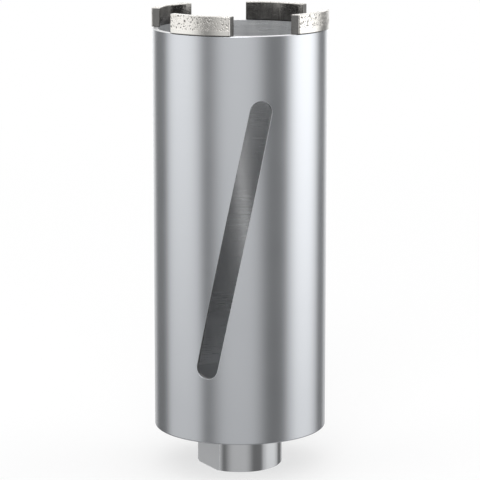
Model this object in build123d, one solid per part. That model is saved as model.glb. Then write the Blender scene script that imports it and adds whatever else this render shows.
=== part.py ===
from build123d import *
from math import pi, radians, tan
import os

# A 65 mm diamond core bit for dry drilling, standing on its connection with the cutting
# segments up. +Z runs along the axis towards the segments, and the origin is the centre of
# the connection's end face. Lengths are millimetres, angles are degrees. A "turn" is
# measured about the axis, from the front (-Y) towards +X.

# cutting ring
bit_diameter = 65.0        # over the segments: the size of the drilled hole
segment_count = 4
segment_length = 24.0      # straight across, between the two parallel ends
segment_height = 7.0
segment_edge = 0.35        # bevel of its pressed edges
segment_turn = -28.0       # middle of the first segment
outer_relief = 0.75        # the segments stand this far outside the barrel
inner_relief = 0.45        # and this far inside its bore

# barrel, a steel tube
barrel_wall = 2.0
barrel_length = 148.0
rim_chamfer = 0.35         # outer corner of the rim that carries the segments
foot_radius = 0.5          # outer corner of the closed end

# dust slot through the barrel's wall, cut by an end mill that follows a helix
slot_width = 8.0
slot_foot = 24.0           # barrel's closed end to the slot's lower end
slot_head = 23.0           # slot's upper end to the rim
slot_slant = 12.0          # off the axis, climbing like a right-hand thread
slot_turn = -4.0           # middle of the slot

# connection hub: a turned plug welded into the barrel, with a spigot below it
plug_length = 16.0
plug_gap = 0.03            # all round, in the barrel's bore
plug_chamfer = 0.6         # inner corner, seen from inside the barrel
weld_bevel = 1.0           # outer corner, for the weld to the barrel's end
spigot_diameter = 31.5
spigot_length = 15.0
spigot_chamfer = 0.7
across_flats = 27.0        # two spanner flats
flats_turn = -60.0         # the way one flat faces

# female G 1/2 thread, right through the hub
thread_major = 20.955
thread_lead_in = 1.0       # 45 degree countersink at both ends

# radii and heights that follow
barrel_outer = bit_diameter / 2 - outer_relief
barrel_inner = barrel_outer - barrel_wall
segment_inner = barrel_inner - inner_relief
plug_radius = barrel_inner - plug_gap
spigot_radius = spigot_diameter / 2
bore_radius = thread_major / 2
barrel_foot = spigot_length
barrel_rim = barrel_foot + barrel_length
hub_top = barrel_foot + plug_length


def turned(outline):
    """A solid of revolution from its half section, given as (radius, height) points."""
    return revolve(Plane.XZ * make_face(Polyline(*outline, close=True)), Axis.Z)


def slot_cutter():
    """The end mill's sweep: a helical channel with a round radial hole at each end."""
    climb = barrel_length - slot_foot - slot_head - slot_width
    lead = 2 * pi * barrel_outer / tan(radians(slot_slant))
    swing = 360 * climb / lead
    depth = 4 * barrel_wall
    path = Helix(pitch=lead, height=climb, radius=barrel_outer)
    section = Plane(origin=path @ 0, x_dir=(1, 0, 0), z_dir=path % 0) * Rectangle(depth, slot_width)
    channel = sweep(section, path=path, is_frenet=True)
    end_hole = Pos(barrel_outer, 0, 0) * Rot(Y=90) * Cylinder(slot_width / 2, depth)
    upper_hole = Pos(0, 0, climb) * Rot(Z=swing) * end_hole
    # the helix starts at +X: bring its middle to the front, then to the slot's turn
    to_front = Rot(Z=slot_turn - 90 - swing / 2)
    lift = Pos(0, 0, barrel_foot + slot_foot + slot_width / 2)
    return [lift * to_front * cutter for cutter in (channel, end_hole, upper_hole)]


def barrel_tube():
    tube = turned([
        (barrel_inner, barrel_foot),
        (barrel_outer, barrel_foot),
        (barrel_outer, barrel_rim - rim_chamfer),
        (barrel_outer - rim_chamfer, barrel_rim),
        (barrel_inner, barrel_rim),
    ])
    foot_corner = tube.edges().filter_by(GeomType.CIRCLE).group_by(Axis.Z)[0].sort_by(SortBy.RADIUS)[-1]
    tube = fillet(foot_corner, foot_radius)
    for cutter in slot_cutter():
        tube -= cutter
    return tube


def connection_hub():
    lead_in = thread_lead_in
    hub = turned([
        (bore_radius + lead_in, 0),
        (spigot_radius - spigot_chamfer, 0),
        (spigot_radius, spigot_chamfer),
        (spigot_radius, barrel_foot),
        (plug_radius - weld_bevel, barrel_foot),
        (plug_radius, barrel_foot + weld_bevel),
        (plug_radius, hub_top - plug_chamfer),
        (plug_radius - plug_chamfer, hub_top),
        (bore_radius + lead_in, hub_top),
        (bore_radius, hub_top - lead_in),
        (bore_radius, lead_in),
    ])
    beyond = spigot_diameter
    waste = Pos(0, -(across_flats + beyond) / 2, barrel_foot / 2) * Box(2 * beyond, beyond, barrel_foot)
    for side in (0, 180):
        hub -= Rot(Z=flats_turn + side) * waste
    return hub


def segment():
    """One pressed segment at the front: a curved bar whose two ends are parallel."""
    ring = Circle(bit_diameter / 2) - Circle(segment_inner)
    bar = ring & Pos(0, -bit_diameter / 2) * Rectangle(segment_length, bit_diameter)
    body = Pos(0, 0, barrel_rim) * extrude(bar, segment_height)
    free_edges = body.edges() - body.edges().group_by(Axis.Z)[0]
    return chamfer(free_edges, segment_edge)


def all_parts():
    parts = {"barrel_tube": barrel_tube(), "connection_hub": connection_hub()}
    one = segment()
    for n in range(segment_count):
        parts[f"diamond_segment_{n + 1}"] = Rot(Z=segment_turn + n * 360 / segment_count) * one
    return parts


os.makedirs("parts", exist_ok=True)
for name, solid in all_parts().items():
    export_step(solid, f"parts/{name}.step")
    print(name, round(solid.volume), "mm3")
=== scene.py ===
import math
import bpy
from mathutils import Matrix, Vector, noise
from mathutils.geometry import delaunay_2d_cdt


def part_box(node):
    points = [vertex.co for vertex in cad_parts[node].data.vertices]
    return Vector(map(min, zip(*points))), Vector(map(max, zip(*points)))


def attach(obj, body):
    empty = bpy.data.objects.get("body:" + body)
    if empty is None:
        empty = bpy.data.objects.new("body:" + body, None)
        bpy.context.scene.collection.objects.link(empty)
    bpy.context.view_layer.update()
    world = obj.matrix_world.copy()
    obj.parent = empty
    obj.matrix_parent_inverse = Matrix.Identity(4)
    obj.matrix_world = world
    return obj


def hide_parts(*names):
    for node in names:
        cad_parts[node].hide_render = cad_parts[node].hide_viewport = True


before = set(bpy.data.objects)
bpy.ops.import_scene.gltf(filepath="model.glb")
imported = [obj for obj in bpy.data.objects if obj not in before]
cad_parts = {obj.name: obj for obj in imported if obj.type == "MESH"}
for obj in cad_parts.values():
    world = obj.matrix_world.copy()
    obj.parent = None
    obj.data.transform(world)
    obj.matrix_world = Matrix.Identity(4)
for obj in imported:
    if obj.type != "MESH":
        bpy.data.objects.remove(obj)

mm = 0.001
fullTurn = 2 * math.pi
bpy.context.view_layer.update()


class Wire:
    # a socket that takes part in Python arithmetic: each step adds a Math node
    def __init__(self, nodes, socket):
        self.nodes, self.socket = nodes, socket

    def math(self, operation, other=None, flip=False):
        values = [self] if other is None else [other, self] if flip else [self, other]
        return self.nodes.add("Math", {"operation": operation}, dict(enumerate(values)))

    def __add__(self, other):
        return self.math("ADD", other)

    def __sub__(self, other):
        return self.math("SUBTRACT", other)

    def __rsub__(self, other):
        return self.math("SUBTRACT", other, True)

    def __mul__(self, other):
        return self.math("MULTIPLY", other)

    def __truediv__(self, other):
        return self.math("DIVIDE", other)

    def __rtruediv__(self, other):
        return self.math("DIVIDE", other, True)

    __radd__ = __add__
    __rmul__ = __mul__


class Nodes:
    def __init__(self, owner):
        owner.use_nodes = True
        self.tree = owner.node_tree
        self.tree.nodes.clear()

    # a node of a type: its settings go in first, then the values or links of its sockets
    def add(self, kind, settings=None, sockets=None, out=0):
        node = self.tree.nodes.new("ShaderNode" + kind)
        for name, value in (settings or {}).items():
            setattr(node, name, value)
        for key, value in (sockets or {}).items():
            if isinstance(value, Wire):
                self.tree.links.new(value.socket, node.inputs[key])
            else:
                node.inputs[key].default_value = value
        return Wire(self, node.outputs[out]) if node.outputs else None

    def parts(self, wire):
        node = self.add("SeparateXYZ", {}, {0: wire}).socket.node
        return [Wire(self, out) for out in node.outputs]

    # where a point of the object is: as one vector, x, y, z, and its distance from the axis
    def place(self):
        where = self.add("TexCoord", out=3)
        x, y, z = self.parts(where)
        return where, x, y, z, (x * x + y * y).math("SQRT")

    # 0 below the first value and 1 above the second, or other ends, with a soft slope
    def fade(self, wire, low, high, start=0.0, end=1.0):
        sockets = {0: wire, 1: low, 2: high, 3: start, 4: end}
        return self.add("MapRange", {"interpolation_type": "SMOOTHSTEP"}, sockets)

    # the other way round: 1 below and 0 above
    def drop(self, wire, low, high):
        return self.fade(wire, low, high, 1.0, 0.0)

    def mix(self, share, first, second):
        return self.add("Mix", {"data_type": "RGBA"}, {0: share, 6: first, 7: second}, out=2)

    def noise(self, where, scale, detail=2.0, rough=0.5):
        sockets = {"Vector": where, "Scale": scale, "Detail": detail, "Roughness": rough}
        return self.add("TexNoise", {}, sockets)

    def stretch(self, where, x, y, z):
        return self.add("VectorMath", {"operation": "MULTIPLY"}, {0: where, 1: (x, y, z)})

    def bump(self, height, strength, distance, **under):
        sockets = {"Strength": strength, "Distance": distance, "Height": height, **under}
        return self.add("Bump", {}, sockets)

    # the last two nodes of a metal finish
    def metal(self, colour, rough, surface, share=1.0):
        sockets = {"Base Color": colour, "Metallic": share, "Roughness": rough, "Normal": surface}
        self.add("OutputMaterial", {}, {0: self.add("BsdfPrincipled", {}, sockets)})


# a turn is measured about the axis from the front, -Y, towards +X
def polar(turn, radius, height):
    return (radius * math.sin(turn), -radius * math.cos(turn), height)


class Shape:
    # collects points and faces; each face remembers which way its shading should look
    samePoint = 0.002 * mm      # points that round to the same step are one

    def __init__(self):
        self.points, self.faces, self.looks, self.known = [], [], [], {}

    def point(self, spot):
        key = tuple(round(c / self.samePoint) for c in spot)
        if key not in self.known:
            self.known[key] = len(self.points)
            self.points.append(spot)
        return self.known[key]

    def face(self, spots, look=None):
        ids = [self.point(s) for s in spots]
        ids = [v for i, v in enumerate(ids) if v != ids[i - 1]]
        if len(set(ids)) > 2:
            self.faces.append(ids)
            self.looks.append(look)

    # rows of points joined by four-sided faces, closed round
    def band(self, rows, look=None):
        for low, high in zip(rows, rows[1:]):
            for i in range(len(low)):
                self.face([low[i - 1], low[i], high[i], high[i - 1]], look)

    def build(self, name, shading):
        mesh = bpy.data.meshes.new(name)
        mesh.from_pydata(self.points, [], self.faces)
        mesh.shade_smooth()
        normals = []
        for face in mesh.polygons:
            look = self.looks[face.index]
            for v in face.vertices:
                normals.append(shading[look](mesh.vertices[v].co, face.center) if look else (0, 0, 0))
        mesh.normals_split_custom_set(normals)
        thing = bpy.data.objects.new(name, mesh)
        bpy.context.collection.objects.link(thing)
        return thing


def outward(spot, centre):
    return Vector((spot.x, spot.y, 0)).normalized()


def inward(spot, centre):
    return -outward(spot, centre)


def upward(spot, centre):
    return Vector((0, 0, 1))


def downward(spot, centre):
    return Vector((0, 0, -1))


shading = {"out": outward, "in": inward, "up": upward, "down": downward}


# points on the round that replaces a square corner of a section
def quarterRound(start, corner, end, steps):
    start, corner, end = (Vector(p) for p in (start, corner, end))
    centre = start + end - corner
    return [tuple(centre + (end - centre) * math.sin(a) + (start - centre) * math.cos(a))
            for a in (k * math.pi / 2 / steps for k in range(steps + 1))]


def ring(radius, height, columns, start):
    return [polar(start + fullTurn * i / columns, radius, height) for i in range(columns)]


def clamp(value, low, high):
    return min(max(value, low), high)


barrel = {
    "wall": 2.0 * mm,
    "rimCorner": 0.35 * mm,
    "footCorner": 0.5 * mm,
    "boreCorner": 0.12 * mm,
    "slotWidth": 8.0 * mm,
    "slotFoot": 24.0 * mm,      # from the closed end
    "slotHead": 23.0 * mm,      # from the rim
    "slotSlant": 12,            # degrees off the axis
    "slotTurn": -4,             # degrees, the slot's middle
    "slotEdge": 0.14 * mm,      # deburred edges of the slot
    "slotStep": 1.0 * mm,       # between points along the slot
    "slotBend": 14,             # points round each of its ends
    "slotMargin": 1.2 * mm,     # round it, without points of the skin's even pattern
    "columns": 144,
    "rowHeight": 4.0 * mm,
    "steel": ((0.612, 0.63, 0.66, 1), (0.655, 0.673, 0.7, 1)),      # darkest and palest tone
    "boreSteel": ((0.69, 0.7, 0.715, 1), (0.94, 0.945, 0.95, 1)),
    "rimSteel": (0.88, 0.885, 0.895, 1),
    "slotSteel": (0.46, 0.46, 0.465, 1),
    "roughness": 0.2,
    "rimRoughness": 0.22,       # added on the sawn rim
    "slotRoughness": 0.25,      # added on the slot's walls
    "latheLines": 5200,         # fineness along the axis of the turning marks
    "boreRipples": 700,         # and of the ripples in the bore
    "latheHeight": 0.1,         # both in mark depths
    "rippleHeight": 6,
    "markDepth": 0.01 * mm,
}


def barrelSizes():
    low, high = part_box("barrel_tube")
    outer = (high.x - low.x) / 2
    return outer, outer - barrel["wall"], low.z, high.z


# the slot's outline at a radius, as (turn, height) pairs, at a reach from its middle line
def slotOutline(reach, radius):
    outer, _, foot, rim = barrelSizes()
    slant, slotTurn = math.radians(barrel["slotSlant"]), math.radians(barrel["slotTurn"])
    lowEnd = foot + barrel["slotFoot"] + barrel["slotWidth"] / 2
    highEnd = rim - barrel["slotHead"] - barrel["slotWidth"] / 2
    half = (highEnd - lowEnd) / 2 / math.cos(slant)
    steps = int(2 * half / barrel["slotStep"])
    path = [(-half + 2 * half * i / steps, reach) for i in range(steps)]
    for i in range(barrel["slotBend"]):
        angle = math.pi * i / barrel["slotBend"]
        path.append((half + reach * math.sin(angle), reach * math.cos(angle)))
    path += [(-along, -across) for along, across in path]
    middle = (lowEnd + highEnd) / 2
    outline = []
    for along, across in path:
        turn = slotTurn + along * math.sin(slant) / outer + across * math.cos(slant) / radius
        outline.append((turn, middle + along * math.cos(slant) - across * math.sin(slant)))
    return outline


# one face of the wall, unrolled, cut round the slot and rolled up again
def barrelSkin(shape, radius, bottom, top, reach, look):
    columns, start = barrel["columns"], math.radians(barrel["slotTurn"]) - math.pi
    margin = reach + barrel["slotMargin"]
    rim = [Vector((turn * radius, height)) for turn, height in slotOutline(reach, radius)]
    clear = [Vector((turn * radius, height)) for turn, height in slotOutline(margin, radius)]
    rows = round((top - bottom) / barrel["rowHeight"])
    spots = list(rim)
    for row in range(rows + 1):
        height = bottom + (top - bottom) * row / rows
        for column in range(columns + 1):
            spot = Vector(((start + fullTurn * column / columns) * radius, height))
            if not isInside(spot, clear):
                spots.append(spot)
    edges = [(i, (i + 1) % len(rim)) for i in range(len(rim))]
    tolerance = 1e-7
    flat, _, faces, _, _, _ = delaunay_2d_cdt(spots, edges, [], 0, tolerance)
    for face in faces:
        corners = [flat[i] for i in face]
        if not isInside(sum(corners, Vector((0, 0))) / 3, rim):
            rolled = [polar(wrapTurn(c.x / radius, start), radius, c.y) for c in corners]
            shape.face(rolled if look == "out" else rolled[::-1], look)


# the last column is the first one again
def wrapTurn(turn, start):
    tolerance = 1e-5
    return start if abs(turn - start - fullTurn) < tolerance else turn


def isInside(spot, outline):
    inside = False
    for a, b in zip(outline, outline[1:] + outline[:1]):
        if (a.y > spot.y) != (b.y > spot.y):
            if spot.x < a.x + (spot.y - a.y) * (b.x - a.x) / (b.y - a.y):
                inside = not inside
    return inside


def makeBarrel():
    outer, inner, foot, rim = barrelSizes()
    columns, start = barrel["columns"], math.radians(barrel["slotTurn"]) - math.pi
    bore, edge, reach = barrel["boreCorner"], barrel["slotEdge"], barrel["slotWidth"] / 2
    shape = Shape()
    outerFoot, outerRim = foot + barrel["footCorner"], rim - barrel["rimCorner"]
    barrelSkin(shape, outer, outerFoot, outerRim, reach + edge, "out")
    barrelSkin(shape, inner, foot + bore, rim - bore, reach + edge, "in")

    # the slot's walls, from the outside in
    section = quarterRound((reach + edge, outer), (reach, outer), (reach, outer - edge), 3)
    section += quarterRound((reach, inner + edge), (reach, inner), (reach + edge, inner), 3)
    walls = []
    for offset, radius in section:
        walls.append([polar(turn, radius, height) for turn, height in slotOutline(offset, radius)])
    shape.band(walls)

    # the rim, and then the closed end
    rimOut = quarterRound((outer, outerRim), (outer, rim), (outer - barrel["rimCorner"], rim), 4)
    rimIn = quarterRound((inner + bore, rim), (inner, rim), (inner, rim - bore), 3)
    footIn = quarterRound((inner, foot + bore), (inner, foot), (inner + bore, foot), 3)
    footOut = quarterRound((outer - barrel["footCorner"], foot), (outer, foot), (outer, outerFoot), 5)
    for first, look, second in ((rimOut, "up", rimIn), (footIn, "down", footOut)):
        shape.band([ring(*p, columns, start) for p in first])
        shape.band([ring(*p, columns, start) for p in (first[-1], second[0])], look)
        shape.band([ring(*p, columns, start) for p in second])

    thing = shape.build("barrel", shading)
    thing.data.materials.append(barrelSteel())
    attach(thing, "root")
    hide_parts("barrel_tube")
    print("barrel:", len(shape.faces), "faces")


def barrelSteel():
    mat = bpy.data.materials.new("barrelSteel")
    n = Nodes(mat)
    where, _, _, z, radius = n.place()
    outer, inner, foot, rim = barrelSizes()
    wall, edge = barrel["wall"], barrel["slotEdge"]

    # where on the barrel: the bore, the sawn rim, the slot's walls
    inside = n.drop(radius, outer - wall * 0.7, outer - wall * 0.5)
    sawn = n.fade(z, rim - 0.2 * mm, rim - 0.05 * mm)
    slotWall = n.fade(radius, inner + 0.02 * mm, inner + 0.1 * mm)
    slotWall = slotWall * n.drop(radius, outer - edge, outer - edge / 2)
    slotWall = slotWall * n.drop(z, rim - 2 * mm, rim - 1 * mm) * n.fade(z, foot + 1 * mm, foot + 2 * mm)

    clouds = n.noise(where, 45, 3)
    lathe = n.noise(n.stretch(where, 60, 60, barrel["latheLines"]), 1.0, 2)
    blotches = n.noise(n.stretch(where, 260, 260, 90), 1.0, 3, 0.6)
    ripples = n.noise(n.stretch(where, 25, 25, barrel["boreRipples"]), 1.0, 3, 0.6)

    colour = n.mix(clouds, *barrel["steel"])
    colour = n.mix(inside, colour, n.mix(blotches, *barrel["boreSteel"]))
    colour = n.mix(sawn, colour, barrel["rimSteel"])
    colour = n.mix(slotWall, colour, barrel["slotSteel"])
    rough = barrel["roughness"] + clouds * 0.05 + lathe * 0.05 + inside * 0.03
    rough = rough + sawn * barrel["rimRoughness"] + slotWall * barrel["slotRoughness"]
    height = lathe * barrel["latheHeight"] + ripples * inside * barrel["rippleHeight"]
    n.metal(colour, rough, n.bump(height, 1.0, barrel["markDepth"]), 1 - inside * 0.12)
    return mat


hub = {
    "plugLength": 16.0 * mm,
    "plugCorner": 0.6 * mm,
    "weldBevel": 1.0 * mm,
    "weldWidth": 1.15 * mm,
    "weldFill": 0.3 * mm,
    "weldStep": 1.3 * mm,
    "weldScale": 0.16 * mm,     # how far its scales stand out
    "weldLag": 0.55,            # how far their middles trail, in steps
    "weldColumns": 6,           # for each scale
    "weldRows": 24,
    "spigotRadius": 15.75 * mm,
    "spigotCorner": 0.7 * mm,
    "acrossFlats": 27.0 * mm,
    "flatsTurn": -60,           # degrees, the way one flat faces
    "threadMajor": 20.955 * mm,
    "threadMinor": 18.631 * mm,
    "threadPitch": 1.814 * mm,
    "threadLeadIn": 1.0 * mm,
    "threadFlat": 0.14,         # share of half a pitch that is flat, at crest and at root
    "threadRound": 0.4,         # 0 for straight flanks
    "columns": 240,
    "stepsPerThread": 12,
    "steel": ((0.605, 0.615, 0.63, 1), (0.67, 0.68, 0.695, 1)),     # darkest and palest tone
    "flatSteel": (0.8, 0.81, 0.825, 1),
    "cornerPaintedShade": (0.24, 0.235, 0.23, 1),      # painted shade round the edge of the plug's inner face, dulling its bright reflection
    "weldSteel": ((0.4, 0.35, 0.29, 1), (0.5, 0.485, 0.48, 1)),
    "roughness": 0.12,
    "flatRoughness": 0.3,       # added on the flats
    "cornerRoughness": 0.3,     # added round the plug's inner face
    "ringMarks": (2600, 3600),  # fineness of the turning marks, from the axis out and along it
    "millMarks": (900, 900, 5200),
    "markStrength": 0.12,
    "markDepth": 0.03 * mm,
    "facingDepth": 0.1 * mm,    # of the marks on the plug's inner face
}


def flatHalf(radius):
    return math.acos(hub["acrossFlats"] / 2 / radius)


# even columns, with one on each edge of the two flats
def hubTurns():
    turns = {fullTurn * i / hub["columns"] for i in range(hub["columns"])}
    flats, half = math.radians(hub["flatsTurn"]), flatHalf(hub["spigotRadius"])
    for side in (0, math.pi):
        for edge in (-1, 1):
            exact = (flats + side + edge * half) % fullTurn
            turns.discard(min(turns, key=lambda turn: abs(turn - exact)))
            turns.add(exact)
    return sorted(turns)


# a row of points round the spigot, cut back by the flats; its columns follow the flats' edges
def spigotRow(radius, height):
    row, quarter, tolerance = [], math.pi / 2, 1e-6
    widest, half = flatHalf(hub["spigotRadius"]), flatHalf(radius)
    for turn in hubTurns():
        lean = (turn - math.radians(hub["flatsTurn"]) + quarter) % math.pi - quarter
        if abs(lean) <= widest + tolerance:
            moved = lean * half / widest
            reach = hub["acrossFlats"] / 2 / math.cos(moved)
        else:
            moved = math.copysign(half + (abs(lean) - widest) * (quarter - half) / (quarter - widest), lean)
            reach = radius
        row.append(polar(turn + moved - lean, reach, height))
    return row


# flat on the two flats and round between them
def hubShading(spot, centre):
    across = Vector(polar(math.radians(hub["flatsTurn"]), 1, 0))
    side, tolerance = centre.dot(across), 0.01 * mm
    if abs(abs(side) - hub["acrossFlats"] / 2) < tolerance:
        return across if side > 0 else -across
    return outward(spot, centre)


def threadRadius(turn, height, bottom, top):
    major, minor, pitch = hub["threadMajor"] / 2, hub["threadMinor"] / 2, hub["threadPitch"]
    flat, bend = hub["threadFlat"], hub["threadRound"]
    wave = abs(((height / pitch - turn / fullTurn) % 1) * 2 - 1)
    wave = clamp((wave - flat) / (1 - 2 * flat), 0, 1)
    radius = minor + (major - minor) * (wave * (1 - bend) + bend * wave * wave * (3 - 2 * wave))
    mouth = major + hub["threadLeadIn"] - min(height - bottom, top - height)
    return max(radius, mouth)


# the weld in the groove between the plug and the barrel: a closed ring, with scales below
def makeBead(shape, start, under):
    beats = round(fullTurn * start / hub["weldStep"])
    columns = beats * hub["weldColumns"]
    rows = []
    for k in range(hub["weldRows"] + 1):
        share = fullTurn * k / hub["weldRows"]
        radius = start + hub["weldWidth"] * (1 - math.cos(share)) / 2
        rows.append([])
        for turn in (fullTurn * i / columns for i in range(columns)):
            scale = (turn * beats / fullTurn - hub["weldLag"] * math.sin(share)) % 1
            uneven = 0.25 * math.sin(turn * 7) + 0.2 * math.sin(turn * 19 + 2)
            swell = scale ** 1.5 - 0.5 + uneven
            depth = hub["weldFill"] + (hub["weldScale"] * swell if share < math.pi else 0)
            rows[-1].append(polar(turn, radius, under + hub["weldFill"] - math.sin(share) * depth))
    shape.band(rows)


def makeHub():
    low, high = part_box("connection_hub")
    bottom, top, plugRadius = low.z, high.z, (high.x - low.x) / 2
    under = top - hub["plugLength"]
    turns = hubTurns()
    shape = Shape()
    spigot, corner = hub["spigotRadius"], hub["spigotCorner"]
    mouth = hub["threadMajor"] / 2 + hub["threadLeadIn"]
    bevelStart, bevelTop = plugRadius - hub["weldBevel"], under + hub["weldBevel"]
    plugIn, plugTop = plugRadius - hub["plugCorner"], top - hub["plugCorner"]

    def rows(section):
        return [[polar(turn, radius, height) for turn in turns] for radius, height in section]

    # the end face, up round the outside, over the plug, and down the thread
    shape.band(rows([(mouth, bottom)]) + [spigotRow(spigot - corner, bottom)], "down")
    chamfer = [spigotRow(spigot - corner + corner * k / 3, bottom + corner * k / 3) for k in range(4)]
    shape.band(chamfer, "spigot")
    shape.band([chamfer[-1], spigotRow(spigot, under)], "spigot")
    shape.band([spigotRow(spigot, under)] + rows([(bevelStart, under)]), "down")
    shape.band(rows([(bevelStart, under), (plugRadius, bevelTop)]))
    shape.band(rows([(plugRadius, bevelTop), (plugRadius, plugTop)]), "out")
    shape.band(rows(quarterRound((plugRadius, plugTop), (plugRadius, top), (plugIn, top), 4)))
    shape.band(rows([(plugIn, top), (mouth, top)]), "up")
    steps = int((top - bottom) / hub["threadPitch"] * hub["stepsPerThread"])
    heights = [top + (bottom - top) * k / steps for k in range(steps + 1)]
    shape.band([[polar(t, threadRadius(t, h, bottom, top), h) for t in turns] for h in heights])
    makeBead(shape, bevelStart, under)

    thing = shape.build("connectionHub", {**shading, "spigot": hubShading})
    thing.data.materials.append(hubSteel())
    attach(thing, "root")
    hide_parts("connection_hub")
    print("hub:", len(shape.faces), "faces")


def hubSteel():
    mat = bpy.data.materials.new("hubSteel")
    n = Nodes(mat)
    where, x, y, z, radius = n.place()
    plug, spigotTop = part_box("connection_hub")[1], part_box("barrel_tube")[0].z
    flatPlane, plugCorner = hub["acrossFlats"] / 2, plug.x - hub["plugCorner"]
    weldStart, weldFoot = plug.x - hub["weldBevel"], plug.z - hub["plugLength"]

    # where on the hub: the flats, the plug's inner face and its edge, which gets painted shade, the weld
    across = polar(math.radians(hub["flatsTurn"]), 1, 0)
    side = (x * across[0] + y * across[1]).math("ABSOLUTE")
    flat = n.fade(side, flatPlane - 0.06 * mm, flatPlane - 0.03 * mm)
    flat = flat * n.drop(side, flatPlane + 0.03 * mm, flatPlane + 0.06 * mm)
    flat = flat * n.drop(z, spigotTop - 0.1 * mm, spigotTop)
    facing = n.fade(z, plug.z - 0.05 * mm, plug.z - 0.01 * mm)
    # the edge of the plug's inner face, darkened with painted shade
    corner = n.fade(radius, plugCorner, plugCorner + hub["plugCorner"] / 2)
    corner = corner * n.fade(z, plug.z - 1 * mm, plug.z - 0.6 * mm)
    weld = n.fade(radius, weldStart, weldStart + 0.1 * mm)
    weld = weld * n.drop(z, weldFoot + 0.4 * mm, weldFoot + 0.6 * mm)

    ringsOut, ringsAlong = hub["ringMarks"]
    rings = n.add("CombineXYZ", {}, {0: radius * ringsOut, 1: z * ringsAlong, 2: 0.0})
    marks = n.noise(rings, 1.0, 3, 0.65)
    milled = n.noise(n.stretch(where, *hub["millMarks"]), 1.0, 2)
    clouds = n.noise(where, 60, 3)

    colour = n.mix(clouds, *hub["steel"])
    colour = n.mix(flat, colour, hub["flatSteel"])
    # painted shade on the edge of the plug's inner face
    colour = n.mix(corner, colour, hub["cornerPaintedShade"])
    colour = n.mix(weld, colour, n.mix(clouds, *hub["weldSteel"]))
    rough = hub["roughness"] + marks * 0.06 + facing * 0.1 + corner * hub["cornerRoughness"]
    rough = rough + flat * hub["flatRoughness"] + weld * 0.12
    turned = n.bump(marks * (1 - flat) + milled * flat, hub["markStrength"], hub["markDepth"])
    n.metal(colour, rough, n.bump(marks * facing, 1.0, hub["facingDepth"], Normal=turned))
    return mat


segment = {
    "length": 24.0 * mm,
    "thickness": 3.2 * mm,
    "height": 7.0 * mm,
    "standOff": 0.75 * mm,      # outside the barrel
    "turn": -28,                # degrees, middle of the first
    "corner": 0.35 * mm,
    "backing": 1.6 * mm,        # layer without diamonds, at the weld
    "seam": 0.3 * mm,           # above the weld, where the relief's part along the axis fades in
    "cell": 0.11 * mm,          # of the mesh
    "cornerCells": (0, 0.3, 0.65),      # edges of the cells in a corner, as shares of it
    "seeds": (5, 15, 25, 35),
    "bendSeed": 3,              # fixes the bend's noise, which otherwise starts from the clock
    "grainSize": 0.42 * mm,
    "grainLift": 0.05 * mm,
    "grainBend": 0.55,          # how far the grains leave their even pattern
    "grainShare": 0.4,          # chance that a grain stands out, before the clumps scale it
    "pitShare": 0.26,           # chance that it has fallen out, in the same way
    "pitDepth": 0.12 * mm,
    "clumpScale": 0.09,         # lower for larger rich and poor patches
    "closed": 0.12,             # share of the relief that the bore side and the ends show
    "ground": ((0.66, 0.64, 0.605, 1), (0.95, 0.925, 0.88, 1)),     # darkest and palest tone
    "backingTone": (0.78, 0.765, 0.725, 1),
    "crystalTone": (0.6, 0.575, 0.47, 1),
    "pitTone": (0.17, 0.163, 0.15, 1),
    "endTones": ((0.1, 0.099, 0.096, 1), (0.34, 0.335, 0.325, 1)),
    "boreTones": ((0.06, 0.058, 0.055, 1), (0.34, 0.328, 0.31, 1)),
    # painted reflection: the tone the bore side takes towards its top
    "borePaintedReflection": (0.5, 0.485, 0.46, 1),
    # dark line along the weld: partly the weld's own tone, partly painted shadow at the segment's foot
    "weldAndPaintedShadowTone": (0.09, 0.085, 0.08, 1),
    "roughness": 0.16,
    "pitRoughness": 0.34,       # added in the pits
    "endRoughness": 0.26,       # added on the ends
    "markStrength": 0.35,
    "markDepth": 0.05 * mm,
}


# even cells along an edge, with three more at each end for its round corner
def edgePlaces(half):
    count = max(6, round(2 * half / segment["cell"]))
    flat = half - segment["corner"]
    turned = [half - segment["corner"] * share for share in segment["cornerCells"]]
    return [-t for t in turned] + [-flat + 2 * flat * k / count for k in range(count + 1)] + turned[::-1]


# a point moved onto the block with rounded edges, and the way out of it there
def rounded(spot, half):
    corner = segment["corner"]
    core = Vector([clamp(p, corner - h, h - corner) for p, h in zip(spot, half)])
    away = (Vector(spot) - core).normalized()
    return core + away * corner, away


# how deep the surface lies under its envelope, and how much of a pit and of a crystal it is
def gritDepth(spot, away, seed, height):
    place = spot / segment["grainSize"] + Vector((seed * 17.3, seed * 5.1, seed * 9.7))
    bent = place + noise.noise_vector(place * 1.4) * segment["grainBend"]
    distances, sites = noise.voronoi(bent, distance_metric="MANHATTAN")     # crystals, so not round
    luck, size = noise.cell(sites[0] * 37.7), 0.45 + 0.5 * noise.cell(sites[0] * 91.3)
    clump = clamp(0.45 + 1.2 * noise.noise(place * segment["clumpScale"]), 0, 1)
    charged = clamp((height - segment["backing"]) / (0.5 * mm), 0.08, 1)
    worn = 1 if max(away.y, away.z) > 0.3 else segment["closed"]
    cap = max(0, 1 - distances[0] / size)
    share = 0.15 + 1.3 * clump ** 2
    pit = min(1, cap * 1.8) if luck < segment["pitShare"] * share else 0
    lift = min(1, cap * 2.5) if luck > 1 - segment["grainShare"] * share else 0
    rough = noise.noise(place * 2.6) * (0.1 + 0.5 * clump)
    depth = segment["grainLift"] * (1 - lift) * (0.8 + rough) + segment["pitDepth"] * pit
    return depth * charged * worn, pit * charged * worn, lift * charged * worn


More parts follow.
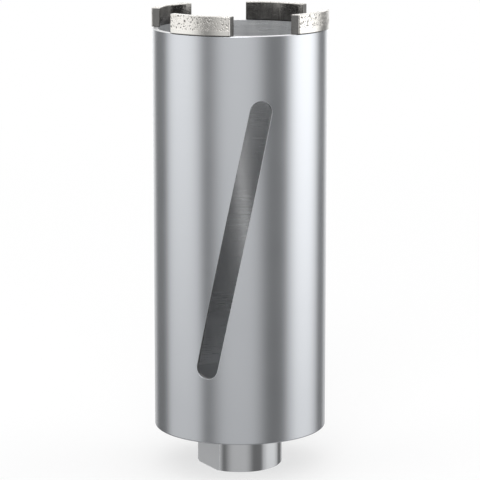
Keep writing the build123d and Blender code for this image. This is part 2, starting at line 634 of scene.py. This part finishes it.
# the cells of a straight block with rounded edges
def segmentBlock(half):
    shape = Shape()
    for axis in range(3):
        first, second = (axis + 1) % 3, (axis + 2) % 3
        for side in (-1, 1):
            grid = []
            for v in edgePlaces(half[second]):
                row = []
                for u in edgePlaces(half[first]):
                    spot = [0, 0, 0]
                    spot[axis], spot[first], spot[second] = side * half[axis], u, v
                    row.append(tuple(rounded(spot, half)[0]))
                grid.append(row)
            for low, high in zip(grid, grid[1:]):
                for i in range(len(low) - 1):
                    shape.face([low[i], low[i + 1], high[i + 1], high[i]][::-side])
    return shape


def makeSegment(number, matrix):
    barrelOuter, _, _, rim = barrelSizes()
    half = [segment["length"] / 2, segment["thickness"] / 2, segment["height"] / 2]
    middle = barrelOuter + segment["standOff"] - half[1]
    shape = segmentBlock(half)
    noise.seed_set(segment["bendSeed"])
    turn = math.radians(segment["turn"] + 90 * (number - 1))
    c, s = math.cos(turn), math.sin(turn)
    pits, crystals = [], []

    # the grit on the straight block, and then the bend round the barrel
    for i, spot in enumerate(shape.points):
        spot, away = rounded(spot, half)
        height = spot.z + half[2]
        depth, pit, crystal = gritDepth(spot, away, segment["seeds"][number - 1], height)
        away.z *= min(1, height / segment["seam"])
        spot -= away * depth
        pits.append(pit)
        crystals.append(crystal)
        radius = middle + spot.y
        x, y = spot.x, -math.sqrt(radius ** 2 - spot.x ** 2)
        shape.points[i] = (x * c - y * s, x * s + y * c, rim + spot.z + half[2])

    thing = shape.build(f"cuttingSegment{number}", shading)
    thing.data.attributes.new("pit", "FLOAT", "POINT").data.foreach_set("value", pits)
    thing.data.attributes.new("crystal", "FLOAT", "POINT").data.foreach_set("value", crystals)
    thing.data.materials.append(matrix)
    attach(thing, "root")
    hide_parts(f"diamond_segment_{number}")
    print("segment", number, len(shape.faces), "faces")


def sinteredMatrix():
    mat = bpy.data.materials.new("sinteredMatrix")
    n = Nodes(mat)
    where, _, _, z, radius = n.place()
    outer, _, _, rim = barrelSizes()
    face, crown = outer + segment["standOff"], rim + segment["height"]
    boreFace, backing = face - segment["thickness"], rim + segment["backing"]

    # where on a segment: the ground faces, the bore side, the layer with diamonds, above the dark line of
    # weld and painted shadow
    ground = n.fade(radius, face - 0.42 * mm, face - 0.26 * mm)
    ground = ground.math("MAXIMUM", n.fade(z, crown - 0.36 * mm, crown - 0.22 * mm))
    bore = n.drop(radius, boreFace + 0.2 * mm, boreFace + 0.3 * mm)
    charged = n.fade(z, backing - 0.2 * mm, backing + 0.3 * mm)
    aboveSeam = n.fade(z, rim + 0.1 * mm, rim + 0.3 * mm)
    pit = n.add("Attribute", {"attribute_name": "pit"}, out=2)
    crystal = n.add("Attribute", {"attribute_name": "crystal"}, out=2)

    grain = n.noise(where, 1 / (0.34 * mm), 3, 0.7)
    clumps = n.noise(where, 1 / (3.0 * mm), 2)
    streaks = n.noise(n.stretch(where, 2400, 2400, 260), 1.0, 3)
    fallen = n.fade(pit + (grain - 0.5) * 0.4, 0.15, 0.6) * charged
    specks = n.fade(grain, 0.56, 0.7) * n.fade(clumps, 0.38, 0.55) * charged * 0.75
    dark = fallen.math("MAXIMUM", specks)

    worked = n.mix(charged, segment["backingTone"], n.mix(grain, *segment["ground"]))
    worked = n.mix(n.fade(crystal, 0.3, 0.7, 0.0, 0.7), worked, segment["crystalTone"])
    worked = n.mix(dark, worked, segment["pitTone"])
    # painted reflection: the bore side turns paler towards the top, speckled by the grain
    paintedReflection = n.fade(z, crown - 3.2 * mm, crown - 0.4 * mm) * n.fade(grain, 0.35, 0.65)
    lining = n.mix(paintedReflection * 0.5, n.mix(streaks, *segment["boreTones"]), segment["borePaintedReflection"])
    colour = n.mix(bore, n.mix(grain, *segment["endTones"]), lining)
    colour = n.mix(ground, colour, worked)
    # dark line along the weld: partly the weld's tone, partly painted shadow at the segment's foot
    colour = n.mix(aboveSeam, segment["weldAndPaintedShadowTone"], colour)
    rough = segment["roughness"] + dark * segment["pitRoughness"]
    rough = rough + (1 - ground) * (1 - bore) * segment["endRoughness"] - bore * 0.04 + grain * 0.09
    height = grain * (0.3 + charged * 0.7) * (1 - bore * 0.7)
    n.metal(colour, rough, n.bump(height, segment["markStrength"], segment["markDepth"]))
    return mat


studio = {
    # soft panels round the object: turn from the front towards +X, half width (degrees), light level
    "panels": {
        "front": (-2, 27, 0.8),
        "left": (-82, 23, 1.25),
        "right": (95, 21, 1.8),
        "back": (180, 22, 1.4),
    },
    "panelFade": 15,            # degrees, the soft edge of a panel to either side
    "room": 0.25,               # level between the panels
    "overhead": 1.02,
    "overheadRise": (0.35, 0.8),        # it takes over between these heights, as on a unit sphere
    "deepFall": 0.42,           # share that the panels lose far below the horizon
    "deepRise": (-0.42, -0.08),
    "brightFall": 0.24,         # share that the bright ones lose besides
    "brightRise": (-0.26, -0.08),
    "brightFrom": (0.85, 1.3),  # levels over which a panel counts as bright
    "floorSize": 12.0,          # half of its side
    "floorTone": 0.97,
    "floorGlow": 0.58,          # share of the floor's white that a shadow leaves
    "floorNear": 100 * mm,      # where the floor starts to pass into plain white
    "floorFar": 900 * mm,
    "keyTurn": -6,              # soft key lamp: degrees from the front, degrees up
    "keyRise": 30,
    "keyAim": 90 * mm,          # the height it points at
    "keyDistance": 1.5,
    "keySize": 0.8,
    "keyWatts": 4.6,
}


# 1 for a ray of one of the kinds named
def seenBy(n, *kinds):
    path = n.add("LightPath").socket.node.outputs
    seen = Wire(n, path[kinds[0]])
    for kind in kinds[1:]:
        seen = seen + Wire(n, path[kind])
    return seen.math("MINIMUM", 1.0)


def makeWorld():
    world = bpy.data.worlds.new("studio")
    bpy.context.scene.world = world
    n = Nodes(world)
    x, y, z = n.parts(n.add("TexCoord"))
    panels, across = studio["room"], (x * x + y * y).math("SQRT")
    for turn, half, strength in studio["panels"].values():
        towards, edge = math.radians(turn), studio["panelFade"]
        facing = (x * math.sin(towards) - y * math.cos(towards)) / across
        outside, within = math.cos(math.radians(half + edge)), math.cos(math.radians(half - edge))
        panels = n.fade(facing, outside, within) * (strength - studio["room"]) + panels
    deep = n.drop(z, *studio["deepRise"])
    bright = n.drop(z, *studio["brightRise"]) * n.fade(panels, *studio["brightFrom"])
    high = n.fade(z, *studio["overheadRise"])
    panels = panels * (1 - deep * studio["deepFall"] - bright * studio["brightFall"])
    level = panels * (1 - high) + high * studio["overhead"]
    seen = seenBy(n, "Is Camera Ray", "Is Transmission Ray")
    level = level * (1 - seen) + seen       # plain white behind the object
    n.add("OutputWorld", {}, {0: n.add("Background", {}, {0: (1, 1, 1, 1), 1: level})})
    print("world:", len(studio["panels"]), "panels")


def makeKey():
    data = bpy.data.lights.new("keyLamp", "AREA")
    data.size, data.energy = studio["keySize"], studio["keyWatts"]
    lamp = bpy.data.objects.new("keyLamp", data)
    bpy.context.collection.objects.link(lamp)
    rise, far = math.radians(studio["keyRise"]), studio["keyDistance"]
    aim = Vector((0, 0, studio["keyAim"]))
    away = polar(math.radians(studio["keyTurn"]), far * math.cos(rise), far * math.sin(rise))
    lamp.location = aim + Vector(away)
    lamp.rotation_euler = (aim - lamp.location).to_track_quat("-Z", "Y").to_euler()
    print("key lamp:", studio["keyWatts"], "W")


def makeFloor():
    size, tone = studio["floorSize"], studio["floorTone"]
    shape = Shape()
    shape.face([(-size, -size, 0), (size, -size, 0), (size, size, 0), (-size, size, 0)])
    floor = shape.build("floor", shading)
    mat = bpy.data.materials.new("floorPaper")
    n = Nodes(mat)
    paper = n.add("BsdfDiffuse", {}, {0: (tone, tone, tone, 1)})
    glow = n.add("Emission", {}, {0: (1, 1, 1, 1), 1: 1.0})
    away = n.place()[-1]
    share = n.fade(away, studio["floorNear"], studio["floorFar"], studio["floorGlow"], 1.0)
    white = n.add("MixShader", {}, {0: share, 1: paper, 2: glow})
    seen = seenBy(n, "Is Camera Ray", "Is Glossy Ray", "Is Transmission Ray")
    n.add("OutputMaterial", {}, {0: n.add("MixShader", {}, {0: seen, 1: paper, 2: white})})
    floor.data.materials.append(mat)
    floor.visible_glossy = False    # the steel shows the panels right down to its foot
    print("floor:", 2 * size, "m")


view = {
    "eye": (3 * mm, -856 * mm, 248 * mm),
    "aim": (0, 0, 84.5 * mm),
    "lens": 177,
    "sensor": 36,
    "nearest": 0.01,            # metres that the camera sees from and to
    "farthest": 20,
}


def makeCamera():
    data = bpy.data.cameras.new("camera")
    camera = bpy.data.objects.new("camera", data)
    bpy.context.collection.objects.link(camera)
    camera.location = view["eye"]
    camera.rotation_euler = (Vector(view["aim"]) - camera.location).to_track_quat("-Z", "Y").to_euler()
    data.lens, data.sensor_width = view["lens"], view["sensor"]
    data.clip_start, data.clip_end = view["nearest"], view["farthest"]
    bpy.context.scene.camera = camera
    print("camera: lens", view["lens"])


makeBarrel()
makeHub()
diamondMatrix = sinteredMatrix()
for number in (1, 2, 3, 4):
    makeSegment(number, diamondMatrix)
makeWorld()
makeKey()
makeFloor()
makeCamera()
bpy.context.scene.view_settings.view_transform = "Standard"
